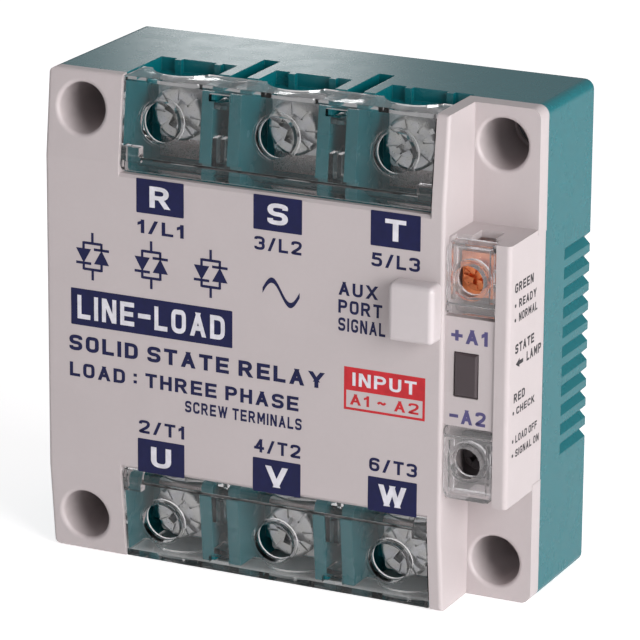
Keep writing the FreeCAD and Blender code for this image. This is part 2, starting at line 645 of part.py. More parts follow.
def chip_clips():
    """Copper straps from the top of each chip to the other pad of its phase."""
    pad_y = PLATE_Y - CERAMIC_T - PAD_T
    chip_y = pad_y - CHIP_T
    clips = []
    for x, _, side in chip_places():
        strap = box(x - 2.0, x + 2.0, chip_y - CLIP_T, chip_y, -6.0, 11.0)
        foot = box(x - 2.0, x + 2.0, chip_y - CLIP_T, pad_y, -6.0, -3.6)
        clip = joined([strap, foot])
        clips.append(clip if side > 0 else mirrored(clip))
    return Part.makeCompound(clips)


def gate_pins():
    y0 = PLATE_Y - CERAMIC_T - PAD_T - CHIP_T
    return Part.makeCompound([cylinder_y(x - 3.2, z, 0.4, BOARD_Y, y0) for x, z, _ in chip_places()])


def thermal_sensor():
    body = box(-14.2, -10.8, PLATE_Y - 3.0, PLATE_Y, -4.0, 4.0)
    leads = [cylinder_y(-SLOT_X, z, 0.35, BOARD_Y, PLATE_Y - 3.0) for z in (-1.3, 1.3)]
    return joined([body] + leads)


# ---------------------------------------------------------------- control board

def control_board():
    y0, y1 = BOARD_FRONT_Y, BOARD_Y
    board = joined([
        box(-34.0, 34.0, y0, y1, -27.5, 27.5),
        box(33.0, 38.6, y0, y1, -16.6, 16.6),
        box(38.0, 45.8, y0, y1, -4.6, 4.6),
    ])
    holes = []
    for x in (-BOARD_SCREW[0], BOARD_SCREW[0]):
        holes += both(cylinder_y(x, BOARD_SCREW[1], 1.25, y0 - 1.0, y1 + 1.0))
    return board.cut(holes)


def board_screws():
    screws = []
    for x in (-BOARD_SCREW[0], BOARD_SCREW[0]):
        head = cylinder_y(x, BOARD_SCREW[1], 2.2, BOARD_FRONT_Y - 1.8, BOARD_FRONT_Y)
        shank = cylinder_y(x, BOARD_SCREW[1], 1.25, BOARD_FRONT_Y, BOARD_Y + 3.5)
        screw = joined([head, shank])
        recess = cross_recess(x, BOARD_SCREW[1], BOARD_FRONT_Y - 2.5, BOARD_FRONT_Y - 0.8, 1.3, 0.3, 20.0)
        screws += both(screw.cut(recess))
    return Part.makeCompound(screws)


def varistors():
    discs = []
    for x in PHASES:
        disc = Part.makeCylinder(7.0, 4.4, FreeCAD.Vector(x, -26.5, 17.8))
        leads = [cylinder_y(x + dx, 20.0, 0.4, -22.0, BOARD_FRONT_Y) for dx in (-3.75, 3.75)]
        discs.append(joined([disc] + leads))
    return Part.makeCompound(discs)


def snubber_capacitors():
    return Part.makeCompound([box(x - 6.5, x + 6.5, BOARD_FRONT_Y - 11.0, BOARD_FRONT_Y, -23.5, -17.5)
                              for x in PHASES])


def snubber_resistors():
    y, z = BOARD_FRONT_Y - 2.6, -9.0
    resistors = []
    for x in PHASES:
        body = cylinder_x(y, z, 2.0, x - 5.5, x + 5.5)
        wire = cylinder_x(y, z, 0.35, x - 6.9, x + 6.9)
        legs = [box(x + dx - 0.25, x + dx + 0.25, y, BOARD_FRONT_Y, z - 0.25, z + 0.25) for dx in (-6.6, 6.6)]
        resistors.append(joined([body, wire] + legs))
    return Part.makeCompound(resistors)


def opto_couplers():
    packages = []
    for x in PHASES:
        centre = x - 5.0
        body = box(centre - 4.4, centre + 4.4, BOARD_FRONT_Y - 4.2, BOARD_FRONT_Y - 0.6, 4.8, 11.2)
        legs = [box(centre + dx - 0.3, centre + dx + 0.3, BOARD_FRONT_Y - 2.4, BOARD_FRONT_Y, z0, z0 + 0.4)
                for dx in (-2.54, 0.0, 2.54) for z0 in (4.4, 11.2)]
        packages.append(joined([body] + legs))
    return Part.makeCompound(packages)


def bridge_rectifier():
    body = box(8.0, 17.0, BOARD_FRONT_Y - 7.0, BOARD_FRONT_Y, -4.5, 4.4)
    edges = [e for e in body.Edges if abs(e.Vertexes[0].Y - e.Vertexes[1].Y) > 1.0]
    return body.makeFillet(1.5, edges)


def input_capacitor():
    can = cylinder_y(-SLOT_X, 0.0, 5.0, -36.0, BOARD_FRONT_Y)
    return can.makeFillet(0.8, edges_where(can, lambda p: p.y < -35.9))


def parts():
    """Every node's name and shape."""
    nodes = {
        "housing": housing(),
        "front_cover": front_cover(),
        "base_plate": base_plate(),
        "mounting_bushes": mounting_bushes(),
        "assembly_screws": assembly_screws(),
        "terminal_nuts": terminal_nuts(),
        "control_nuts": control_nuts(),
        "lamp_window": lamp_window(),
        "status_led": status_led(),
        "signal_port_cap": signal_port_cap(),
        "signal_pins": signal_pins(),
        "signal_socket": signal_socket(),
        "ceramic_substrates": ceramic_substrates(),
        "copper_pads": copper_pads(),
        "thyristor_chips": thyristor_chips(),
        "chip_clips": chip_clips(),
        "gate_pins": gate_pins(),
        "thermal_sensor": thermal_sensor(),
        "control_board": control_board(),
        "board_screws": board_screws(),
        "varistors": varistors(),
        "snubber_capacitors": snubber_capacitors(),
        "snubber_resistors": snubber_resistors(),
        "opto_couplers": opto_couplers(),
        "bridge_rectifier": bridge_rectifier(),
        "input_capacitor": input_capacitor(),
    }
    cover, small = terminal_cover(), small_cover()
    nodes["upper_terminal_cover"] = cover
    nodes["lower_terminal_cover"] = mirrored(cover)
    nodes["control_cover_a1"] = small
    nodes["control_cover_a2"] = mirrored(small)
    for places, side in ((UPPER, 1), (LOWER, -1)):
        for name, x in places.items():
            bar, clamp = terminal_bar(x), terminal_clamp(x)
            nodes["terminal_bar_" + name] = bar if side > 0 else mirrored(bar)
            nodes["terminal_clamp_" + name] = clamp if side > 0 else mirrored(clamp)
            nodes["terminal_screw_" + name] = terminal_screw(x, side, HEAD_ANGLES[name])
    for name, side, lift in (("a1", 1, A1_LIFT), ("a2", -1, 0.0)):
        plate, clamp = control_terminal(), control_clamp(lift)
        nodes["control_terminal_" + name] = plate if side > 0 else mirrored(plate)
        nodes["control_clamp_" + name] = clamp if side > 0 else mirrored(clamp)
        nodes["control_screw_" + name] = control_screw(lift, side, HEAD_ANGLES[name])
    return nodes


os.makedirs("parts", exist_ok=True)
for node, shape in parts().items():
    shape.exportStep("parts/" + node + ".step")
    print(node, len(shape.Solids), "solids", round(shape.Volume, 1), "mm3", "valid", shape.isValid())
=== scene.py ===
import json
import math

import bmesh
import bpy
from mathutils import Matrix, Vector


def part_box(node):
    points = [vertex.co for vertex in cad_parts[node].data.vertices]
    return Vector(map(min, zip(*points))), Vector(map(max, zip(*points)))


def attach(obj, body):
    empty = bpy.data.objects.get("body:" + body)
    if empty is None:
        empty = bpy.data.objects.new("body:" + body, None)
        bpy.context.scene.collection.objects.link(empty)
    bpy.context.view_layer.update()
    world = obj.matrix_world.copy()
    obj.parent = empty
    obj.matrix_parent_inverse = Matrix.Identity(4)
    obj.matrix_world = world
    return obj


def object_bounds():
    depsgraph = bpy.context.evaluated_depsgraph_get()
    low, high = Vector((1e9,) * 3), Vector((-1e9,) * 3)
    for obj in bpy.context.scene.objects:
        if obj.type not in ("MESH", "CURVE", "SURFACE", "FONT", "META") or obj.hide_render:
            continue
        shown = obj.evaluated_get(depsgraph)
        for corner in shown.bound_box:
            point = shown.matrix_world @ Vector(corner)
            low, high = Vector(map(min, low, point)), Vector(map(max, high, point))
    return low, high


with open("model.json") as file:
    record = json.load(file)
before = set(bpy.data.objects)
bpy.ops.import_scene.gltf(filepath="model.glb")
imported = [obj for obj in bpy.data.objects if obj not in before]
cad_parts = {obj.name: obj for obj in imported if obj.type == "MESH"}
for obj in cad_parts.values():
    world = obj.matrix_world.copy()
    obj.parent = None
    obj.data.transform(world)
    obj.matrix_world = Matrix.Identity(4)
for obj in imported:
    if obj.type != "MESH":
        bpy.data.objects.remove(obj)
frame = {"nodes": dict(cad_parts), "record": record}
cad_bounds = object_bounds()

MM = 0.001
FRONT_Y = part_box("front_cover")[0].y            # front face of the raised block
SIDE_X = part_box("front_cover")[1].x - 0.1 * MM  # outer face of the control strip
STRIP_Y = -39.6 * MM                            # floor of the control strip's shallow recess
PITCH = 25                                      # millimetres between neighbouring phases
INK = 0.02 * MM                                 # thickness of printed ink
INK_STEP = 0.002 * MM                           # difference in height between crossing strokes
INK_LEVELS = 6                                  # heights that the strokes take in turn
INK_GAP = 0.004 * MM                            # keeps ink off the plastic below it
THROUGH_COVERS = (0.80, 0.80, 0.80)             # share of the light that a clear cover lets through

# Camera: turned and tilted about the object's centre, then moved sideways and up
CAMERA_YAW = math.radians(25.46)
CAMERA_PITCH = math.radians(17.29)
CAMERA_ROLL = math.radians(0.43)
CAMERA_DISTANCE = 848.84 * MM
CAMERA_SHIFT = (-8.07 * MM, -5.86 * MM)
CAMERA_LENS = 235.14


# ---------------------------------------------------------------- materials

class Recipe:
    """A node material under construction, coloured and roughened in object space."""

    def __init__(self, name, colour, roughness, **settings):
        self.material = bpy.data.materials.new(name)
        self.material.use_nodes = True
        self.tree = self.material.node_tree
        self.shader = self.tree.nodes["Principled BSDF"]
        self.output = self.tree.nodes["Material Output"]
        self.set("Base Color", (*colour, 1.0))
        self.set("Roughness", roughness)
        for key, value in settings.items():
            self.set(key.replace("_", " ").title().replace("Ior", "IOR"), value)
        self.place = self.node("ShaderNodeTexCoord").outputs["Object"]

    def set(self, socket, value):
        self.shader.inputs[socket].default_value = value

    def node(self, kind, **properties):
        made = self.tree.nodes.new(kind)
        for key, value in properties.items():
            setattr(made, key, value)
        return made

    def link(self, source, target):
        self.tree.links.new(source, target)

    def feed(self, source, socket):
        self.link(source, self.shader.inputs[socket])

    def stretched(self, stretch):
        mapping = self.node("ShaderNodeMapping")
        self.link(self.place, mapping.inputs["Vector"])
        mapping.inputs["Scale"].default_value = stretch
        return mapping.outputs["Vector"]

    def noise(self, size, detail=3.0, stretch=None):
        """Noise whose lumps are about size metres across."""
        texture = self.node("ShaderNodeTexNoise")
        self.link(self.stretched(stretch) if stretch else self.place, texture.inputs["Vector"])
        texture.inputs["Scale"].default_value = 1.0 / size
        texture.inputs["Detail"].default_value = detail
        return texture.outputs["Fac"]

    def spread(self, source, low, high, start=0.3, end=0.7):
        """A number from low to high as source goes from start to end."""
        mapped = self.node("ShaderNodeMapRange")
        self.link(source, mapped.inputs["Value"])
        for key, value in (("From Min", start), ("From Max", end), ("To Min", low), ("To Max", high)):
            mapped.inputs[key].default_value = value
        return mapped.outputs["Result"]

    def blend(self, factor, first, second):
        """A colour between first and second, each a colour or a socket."""
        mix = self.node("ShaderNodeMix", data_type="RGBA")
        self.link(factor, mix.inputs["Factor"])
        for socket, colour in (("A", first), ("B", second)):
            target = [i for i in mix.inputs if i.name == socket and i.type == "RGBA"][0]
            if isinstance(colour, bpy.types.NodeSocket):
                self.link(colour, target)
            else:
                target.default_value = (*colour, 1.0)
        return [o for o in mix.outputs if o.type == "RGBA"][0]

    def maths(self, operation, first, second):
        made = self.node("ShaderNodeMath", operation=operation)
        for socket, value in zip(made.inputs, (first, second)):
            if isinstance(value, bpy.types.NodeSocket):
                self.link(value, socket)
            else:
                socket.default_value = value
        return made.outputs["Value"]

    def soft_edges(self, radius):
        bevel = self.node("ShaderNodeBevel", samples=4)
        bevel.inputs["Radius"].default_value = radius
        return bevel.outputs["Normal"]

    def edge_mask(self, radius):
        """0 on flat faces, rising to 1 near a sharp edge."""
        geometry = self.node("ShaderNodeNewGeometry")
        facing = self.node("ShaderNodeVectorMath", operation="DOT_PRODUCT")
        self.link(self.soft_edges(radius), facing.inputs[0])
        self.link(geometry.outputs["Normal"], facing.inputs[1])
        return self.spread(facing.outputs["Value"], 1.0, 0.0, 0.75, 0.99)

    def bump(self, height, depth, normal=None):
        made = self.node("ShaderNodeBump")
        made.inputs["Distance"].default_value = depth
        self.link(height, made.inputs["Height"])
        if normal is not None:
            self.link(normal, made.inputs["Normal"])
        self.feed(made.outputs["Normal"], "Normal")


def shade(colour, factor):
    return tuple(min(1.0, c * factor) for c in colour)


def moulded(name, colour, roughness, grain=0.3 * MM, depth=0.006 * MM, edge=0.12 * MM, **settings):
    """Moulded plastic: faint clouds in the colour, a spark-eroded grain, and softened edges that are paler,
    partly from wear and partly as a painted highlight.
    """
    recipe = Recipe(name, colour, roughness, **settings)
    clouds = recipe.spread(recipe.noise(14 * MM, 4.0), 0.0, 1.0)
    specks = recipe.spread(recipe.noise(0.9 * MM, 2.0), 0.0, 1.0, 0.35, 0.65)
    body = recipe.blend(clouds, shade(colour, 0.98), shade(colour, 1.015))
    flecked = recipe.blend(recipe.maths("MULTIPLY", specks, 0.1), body, shade(colour, 0.9))
    # Paler near the edges: partly wear, partly a painted highlight where the rounded edges catch the light.
    wear_and_highlight = recipe.maths("MULTIPLY", recipe.edge_mask(edge), 0.35)
    pale = tuple(0.8 * c + 0.2 * 0.7 for c in colour)
    recipe.feed(recipe.blend(wear_and_highlight, flecked, pale), "Base Color")
    recipe.feed(recipe.spread(recipe.noise(5 * MM, 3.0), roughness - 0.02, roughness + 0.03), "Roughness")
    recipe.bump(recipe.noise(grain, 2.0), depth, recipe.soft_edges(edge))
    return recipe.material


def metal(name, colour, roughness, tint, brushed=(1.0, 1.0, 1.0), depth=0.004 * MM):
    """Metal: tarnish clouds towards tint, brushed streaks, and brighter edges, partly from rubbing and
    partly as a painted highlight.
    """
    recipe = Recipe(name, colour, roughness, metallic=1.0)
    clouds = recipe.spread(recipe.noise(2.2 * MM, 4.0), 0.0, 1.0, 0.4, 0.7)
    streaks = recipe.noise(0.35 * MM, 3.0, brushed)
    base = recipe.blend(clouds, colour, tint)
    streaked = recipe.blend(recipe.spread(streaks, 0.0, 0.35), base, shade(colour, 0.72))
    # Brighter near the edges: partly rubbing wear, partly a painted highlight.
    rubbed_and_highlight = recipe.maths("MULTIPLY", recipe.edge_mask(0.08 * MM), 0.6)
    recipe.feed(recipe.blend(rubbed_and_highlight, streaked, shade(colour, 1.25)), "Base Color")
    recipe.feed(recipe.spread(streaks, roughness - 0.06, roughness + 0.12), "Roughness")
    recipe.bump(streaks, depth, recipe.soft_edges(0.06 * MM))
    return recipe.material


def clear_plastic(name, tint, roughness, clouding, clearness):
    """Clear moulded plastic: it bends what is seen through it and lets light pass to what it covers."""
    recipe = Recipe(name, tint, roughness, transmission_weight=clearness, ior=1.46)
    smears = recipe.noise(6 * MM, 3.0)
    recipe.feed(recipe.spread(smears, roughness, roughness + clouding), "Roughness")
    recipe.bump(recipe.noise(9 * MM, 1.0), 0.07 * MM)
    rays = recipe.node("ShaderNodeLightPath")
    passing = recipe.maths("MAXIMUM", rays.outputs["Is Shadow Ray"], rays.outputs["Is Diffuse Ray"])
    see_through = recipe.node("ShaderNodeBsdfTransparent")
    see_through.inputs["Color"].default_value = (*THROUGH_COVERS, 1.0)
    mix = recipe.node("ShaderNodeMixShader")
    recipe.link(passing, mix.inputs["Fac"])
    recipe.link(recipe.shader.outputs["BSDF"], mix.inputs[1])
    recipe.link(see_through.outputs["BSDF"], mix.inputs[2])
    recipe.link(mix.outputs["Shader"], recipe.output.inputs["Surface"])
    return recipe.material


def ink(name, colour):
    """Screen-printed ink: slightly uneven cover and sheen."""
    recipe = Recipe(name, colour, 0.42, specular_ior_level=0.3)
    cover = recipe.spread(recipe.noise(1.6 * MM, 4.0), 0.0, 1.0)
    recipe.feed(recipe.blend(cover, shade(colour, 0.88), shade(colour, 1.12)), "Base Color")
    recipe.feed(recipe.spread(recipe.noise(0.5 * MM, 2.0), 0.36, 0.5), "Roughness")
    return recipe.material


def dipped(name, colour, roughness, swirl):
    """Dipped, coated or sintered small components: slow swirls of colour under a soft gloss."""
    recipe = Recipe(name, colour, roughness)
    clouds = recipe.spread(recipe.noise(swirl, 3.0), 0.0, 1.0)
    recipe.feed(recipe.blend(clouds, shade(colour, 0.85), shade(colour, 1.12)), "Base Color")
    recipe.feed(recipe.spread(recipe.noise(1.1 * MM, 2.0), roughness - 0.05, roughness + 0.08), "Roughness")
    recipe.bump(recipe.noise(1.5 * MM, 2.0), 0.02 * MM)
    return recipe.material


MOULDED = {
    "teal_plastic": dict(colour=(0.002, 0.134, 0.158), roughness=0.26),
    "white_plastic": dict(colour=(0.52, 0.465, 0.47), roughness=0.42),
    "smoked_lens": dict(colour=(0.052, 0.037, 0.042), roughness=0.16, depth=0.002 * MM),
    "cap_plastic": dict(colour=(0.57, 0.52, 0.53), roughness=0.34),
    "black_plastic": dict(colour=(0.025, 0.025, 0.028), roughness=0.45),
}
METAL = {
    "aluminium": ((0.72, 0.73, 0.75), 0.34, (0.66, 0.67, 0.69), (1.0, 1.0, 0.04)),
    "zinc_steel": ((0.50, 0.50, 0.49), 0.30, (0.50, 0.51, 0.55)),
    "plated_bar": ((0.34, 0.31, 0.31), 0.26, (0.26, 0.22, 0.21), (1.0, 8.0, 1.0)),
    "copper": ((0.90, 0.28, 0.13), 0.34, (0.60, 0.28, 0.17), (8.0, 1.0, 1.0)),
    "copper_zinc": ((0.98, 0.34, 0.14), 0.32, (0.68, 0.20, 0.09)),
    "dark_steel": ((0.055, 0.048, 0.05), 0.36, (0.03, 0.026, 0.028)),
    "brass": ((0.80, 0.64, 0.33), 0.26, (0.66, 0.48, 0.22)),
}
DIPPED = {
    "ceramic": ((0.86, 0.86, 0.82), 0.5, 8 * MM),
    "silicon": ((0.12, 0.13, 0.17), 0.18, 6 * MM),
    "board": ((0.02, 0.17, 0.07), 0.3, 7 * MM),
    "varistor_blue": ((0.03, 0.09, 0.36), 0.3, 3 * MM),
    "capacitor_box": ((0.70, 0.55, 0.08), 0.35, 5 * MM),
    "resistor_body": ((0.42, 0.58, 0.66), 0.4, 2 * MM),
    "opto_body": ((0.80, 0.78, 0.72), 0.4, 4 * MM),
    "capacitor_can": ((0.03, 0.04, 0.12), 0.3, 5 * MM),
    "led_body": ((0.80, 0.84, 0.80), 0.25, 2 * MM),
}
CLEAR = {
    "clear_plastic": ((0.97, 0.97, 0.97), 0.012, 0.03, 1.0),
    "frosted_plastic": ((0.97, 0.96, 0.97), 0.03, 0.05, 0.92),
}
INKS = {
    "navy_ink": (0.005, 0.007, 0.056),
    "red_ink": (0.52, 0.022, 0.03),
    "black_ink": (0.02, 0.018, 0.022),
    "violet_ink": (0.085, 0.075, 0.19),
    "pale_ink": (0.68, 0.67, 0.72),
}
FROSTED_NODES = ("control_cover_a1", "control_cover_a2")

materials = {name: moulded(name, **look) for name, look in MOULDED.items()}
materials.update({name: metal(name, *look) for name, look in METAL.items()})
materials.update({name: dipped(name, *look) for name, look in DIPPED.items()})
materials.update({name: clear_plastic(name, *look) for name, look in CLEAR.items()})
materials.update({name: ink(name, colour) for name, colour in INKS.items()})


def dress_cad_nodes():
    """Gives every CAD node the material of its slot; the two small covers are a little frosted."""
    slots = {part["node"]: part["material_slot"] for part in frame["record"]["subparts"]}
    for name, node in frame["nodes"].items():
        look = "frosted_plastic" if name in FROSTED_NODES else slots[name]
        node.data.materials.clear()
        node.data.materials.append(materials[look])


# ---------------------------------------------------------------- printed marks
# Outlines and their places are in millimetres here, as in the object's drawings.

def on_front(x, z, level=0, plane=FRONT_Y):
    """Lays a flat shape, drawn in its own XY plane, on a face that looks along -Y."""
    turn = Matrix(((1, 0, 0, 0), (0, 0, -1, 0), (0, 1, 0, 0), (0, 0, 0, 1)))
    return Matrix.Translation((x * MM, plane - INK_GAP - level * (INK + INK_GAP), z * MM)) @ turn


def on_side(y, z):
    """Lays a flat shape, drawn in its own XY plane, on the strip's face that looks along +X."""
    turn = Matrix(((0, 0, 1, 0), (1, 0, 0, 0), (0, 1, 0, 0), (0, 0, 0, 1)))
    return Matrix.Translation((SIDE_X + INK_GAP, y * MM, z * MM)) @ turn


def extruded(strokes):
    """A mesh of raised flat strokes, each a list of outlines that share edges.

    Strokes that cross differ a little in height, so that no two of their faces coincide.
    """
    bm = bmesh.new()
    for index, outlines in enumerate(strokes):
        faces = [bm.faces.new([bm.verts.new((x * MM, y * MM, 0.0)) for x, y in outline])
                 for outline in outlines]
        corners = {corner for face in faces for corner in face.verts}
        bmesh.ops.remove_doubles(bm, verts=list(corners), dist=0.001 * MM)
        faces = [face for face in faces if face.is_valid]
        raised = bmesh.ops.extrude_face_region(bm, geom=faces)["geom"]
        bmesh.ops.translate(bm, vec=(0, 0, INK - index % INK_LEVELS * INK_STEP),
                            verts=[v for v in raised if isinstance(v, bmesh.types.BMVert)])
    bmesh.ops.recalc_face_normals(bm, faces=bm.faces)
    mesh = bpy.data.meshes.new("outline")
    bm.to_mesh(mesh)
    bm.free()
    return mesh


def rounded(width, height, radius, centre=(0.0, 0.0), steps=5):
    """The outline of a rectangle with rounded corners."""
    points = []
    for corner, (sx, sy) in enumerate(((1, 1), (-1, 1), (-1, -1), (1, -1))):
        cx = centre[0] + sx * (width / 2 - radius)
        cy = centre[1] + sy * (height / 2 - radius)
        for step in range(steps + 1):
            angle = math.pi / 2 * (corner + step / steps)
            points.append((cx + radius * math.cos(angle), cy + radius * math.sin(angle)))
    return points


def bar(start, end, width):
    """The outline of a straight stroke."""
    (x0, y0), (x1, y1) = start, end
    length = math.hypot(x1 - x0, y1 - y0)
    nx, ny = -(y1 - y0) / length * width / 2, (x1 - x0) / length * width / 2
    return [(x0 + nx, y0 + ny), (x0 - nx, y0 - ny), (x1 - nx, y1 - ny), (x1 + nx, y1 + ny)]


# Lettering: capitals lie on a grid 4 wide and 6 tall, measured between the strokes' centre lines.
# Semicolons part the strokes of a character. A character may have straight strokes, bent ones
# with rounded corners, or both.
STRAIGHT = {
    "A": "0,0 2,6; 4,0 2,6; 0.8,1.8 3.2,1.8",
    "D": "0,0 0,6",
    "E": "0,0 0,6; 0,0 3.8,0; 0,3 3.4,3; 0,6 3.8,6",
    "F": "0,0 0,6; 0,3 3.2,3; 0,6 3.8,6",
    "H": "0,0 0,6; 4,0 4,6; 0,3 4,3",
    "I": "0,0 0,6",
    "K": "0,0 0,6; 1.2,3.1 3.6,6; 1.4,3.6 4,0",
    "L": "0,0 0,6; 0,0 3.4,0",
    "M": "0,0 0,6; 5,0 5,6; 0.4,6 2.5,1.6; 4.6,6 2.5,1.6",
    "N": "0,0 0,6; 4,0 4,6; 0.5,6 3.5,0",
    "P": "0,0 0,6",
    "R": "0,0 0,6; 2.2,2.8 3.9,0",
    "T": "2,0 2,6; 0,6 4,6",
    "V": "0,6 2,0; 4,6 2,0",
    "W": "0,6 1.6,0; 3.2,6 1.6,0; 3.2,6 4.8,0; 6.4,6 4.8,0",
    "X": "0,0 4,6; 4,0 0,6",
    "Y": "0,6 2,2.8; 4,6 2,2.8; 2,0 2,2.8",
    "1": "1.6,0 1.6,6; 0.2,4.7 1.6,5.5",
    "4": "3,0 3,6; 0,1.7 4,1.7; 0.4,1.7 2.8,6",
    "5": "0.5,6 3.7,6; 0.3,3.8 0.5,6",
    "/": "0,0 2.2,6",
    "-": "0,3 3.2,3",
    "+": "0,3 4,3; 2,1 2,5",
    ":": "0,1.2 0,1.2; 0,4.8 0,4.8",
}
BENT = {
    "C": "4,4.3 4,6 0,6 0,0 4,0 4,1.7",
    "D": "0,6 4,6 4,0 0,0",
    "G": "4,4.5 4,6 0,6 0,0 4,0 4,2.8 2.3,2.8",
    "O": "2,6 0,6 0,0 4,0 4,6 2,6",
    "P": "0,6 4,6 4,2.8 0,2.8",
    "R": "0,6 4,6 4,2.8 0,2.8",
    "S": "4,4.6 4,6 0,6 0,3 4,3 4,0 0,0 0,1.4",
    "U": "0,6.6 0,0 4,0 4,6.6",
    "2": "0,4.5 0,6 4,6 4,3.4 0,0.4 0,0 4.6,0",
    "3": "0,4.9 0,6 4,6 4,3.1 1.6,3.1; 1.6,3.1 4,3.1 4,0 0,0 0,1.2",
    "5": "0.2,3.6 4,3.6 4,0 0,0 0,1.2",
    "6": "4,4.8 4,6 0,6 0,0 4,0 4,3.5 0,3.5",
    "~": "0,2.4 1.2,4 2.8,2.2 4,3.8",
}
CAPITAL = 6.0     # height of a capital on the grid
BEND_R = 1.9      # how far a rounded corner reaches along its sides
LETTER_GAP = 1.5  # between neighbouring letters
SPACE = 2.6       # added between words


def grid_points(text):
    """The strokes that a line of the alphabet describes, as lists of points."""
    return [[Vector(map(float, pair.split(","))) for pair in stroke.split()] for stroke in text.split(";")]


def straight_stroke(start, end, width):
    """The outline of a stroke whose ends run on by half its width and are cut level or upright."""
    along = end - start
    level = abs(along.x) >= abs(along.y)
    main, side = (0, 1) if level else (1, 0)
    slope = along[side] / along[main] if along[main] else 0.0
    half = width / 2 * math.hypot(1.0, slope)
    corners = []
    for point, onward, turns in ((start, -1, (-1, 1)), (end, 1, (1, -1))):
        step = onward * width / 2 * (1 if along[main] >= 0 else -1)
        for turn in turns:
            corner = Vector((0.0, 0.0))
            corner[main] = point[main] + step
            corner[side] = point[side] + step * slope + turn * half
            corners.append(corner)
    return corners


def rounded_path(points, steps=5):
    """Points along a line whose corners are rounded."""
    path = [points[0]]
    for before, corner, after in zip(points, points[1:], points[2:]):
        start, end = (corner + (side - corner).normalized() * min(BEND_R, (side - corner).length * 0.5)
                      for side in (before, after))
        for step in range(steps + 1):
            t = step / steps
            path.append(start * (1 - t) ** 2 + corner * (2 * t * (1 - t)) + end * t ** 2)
    path.append(points[-1])
    return [p for p, q in zip(path, path[1:]) if (q - p).length > 0.01] + [path[-1]]


def bent_stroke(points, width):
    """A stroke along points with rounded corners, as one four-sided patch per step."""
    path = rounded_path(points)
    sides = []
    for index, point in enumerate(path):
        ahead = (path[min(index + 1, len(path) - 1)] - point).normalized()
        behind = (point - path[max(index - 1, 0)]).normalized()
        along = (ahead + behind).normalized()
        across = Vector((-along.y, along.x))
        stretch = max(ahead.length, behind.length) / max(0.5, along.dot(ahead if ahead.length else behind))
        sides.append((point + across * width / 2 * stretch, point - across * width / 2 * stretch))
    return [[a0, b0, b1, a1] for (a0, b0), (a1, b1) in zip(sides, sides[1:])]


def letter_strokes(character, width):
    """The strokes of one character, each a list of outlines."""
    strokes = []
    for points in grid_points(STRAIGHT[character]) if character in STRAIGHT else ():
        strokes.append([straight_stroke(points[0], points[1], width)])
    for points in grid_points(BENT[character]) if character in BENT else ():
        strokes.append(bent_stroke(points, width))
    return strokes


def words_mesh(words, width, height, stroke):
    """Flat lettering that fills width by height, centred on the origin."""
    placed = []
    left = 0.0
    for character in words:
        if character == " ":
            left += SPACE
            continue
        letter = letter_strokes(character, stroke)
        reach = [p.x for outlines in letter for outline in outlines for p in outline]
        placed += [(outlines, left - min(reach)) for outlines in letter]
        left += max(reach) - min(reach) + LETTER_GAP
    length = left - LETTER_GAP
    across = width / length
    upward = height / (CAPITAL + stroke)
    return extruded([[[((p.x + shift - length / 2) * across, (p.y - CAPITAL / 2) * upward) for p in outline]
                      for outline in outlines] for outlines, shift in placed])


def print_mesh(name, mesh, place, look):
    """Puts a printed mark in its place on the casing."""
    mesh.transform(place)
    mesh.materials.append(materials[look])
    mesh.shade_flat()
    made = bpy.data.objects.new(name, mesh)
    bpy.context.scene.collection.objects.link(made)
    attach(made, "casing")


def print_shapes(name, outlines, place, look):
    print_mesh(name, extruded([[outline] for outline in outlines]), place, look)


def print_words(name, words, width, height, place, look, stroke):
    print_mesh(name, words_mesh(words, width, height, stroke), place, look)


def terminal_labels():
    """A navy box with the terminal's letter, and its number under or over it."""
    rows = (
        ("rst", ("1/L1", "3/L2", "5/L3"), (4.6, 4.4, 4.4), 26.6, 20.35),
        ("uvw", ("2/T1", "4/T2", "6/T3"), (4.5, 5.0, 6.0), -27.1, -21.1),
    )
    for terminals, numbers, letter_widths, box_z, number_z in rows:
        for column, terminal in enumerate(terminals):
            x = (column - 1) * PITCH + (0.6, 1.2, 1.2)[column]
            print_shapes(f"label_{terminal}", [rounded(10.45, 7.0, 0.2)], on_front(x, box_z), "navy_ink")
            print_words(f"letter_{terminal}", terminal.upper(), letter_widths[column], 4.3,
                        on_front(x, box_z, 1), "pale_ink", 1.5)
            print_words(f"number_{terminal}", numbers[column], 10.2, 2.75,
                        on_front(x + 0.1, number_z), "navy_ink", 1.5)


def pole_symbol(x, y):
    """A solid state pole: a line through two opposed triangles, each with its bar."""
    stroke = 0.55
    spread = 2.0         # from the line to the middle of each triangle
    half, tall = 1.7, 3.0
    joint, end = 2.7, 4.9  # where the line splits and where it ends, from the middle
    shapes = [bar((x, y + end), (x, y + joint), stroke), bar((x, y - end), (x, y - joint), stroke)]
    for side in (-1, 1):
        cx = x + side * spread
        tip, base = y + side * tall / 2, y - side * tall / 2
        shapes.append([(cx - half, base), (cx + half, base), (cx, tip)])
        shapes.append(bar((cx - half, tip), (cx + half, tip), stroke))
    for up in (-1, 1):
        shapes.append(bar((x - spread, y + up * joint), (x + spread, y + up * joint), stroke))
    for side in (-1, 1):
        for up in (-1, 1):
            cx = x + side * spread
            shapes.append(bar((cx, y + up * tall / 2), (cx, y + up * (joint + 0.2)), stroke))
    return shapes


def wave_symbol(width, height, stroke, steps=24):
    """One period of a sine wave, drawn with a constant stroke."""
    points = []
    for step in range(steps + 1):
        t = step / steps
        points.append((width * (t - 0.5), height / 2 * math.sin(2 * math.pi * t)))
    upper = [(x, y + stroke / 2) for x, y in points]
    lower = [(x, y - stroke / 2) for x, y in reversed(points)]
    return upper + lower


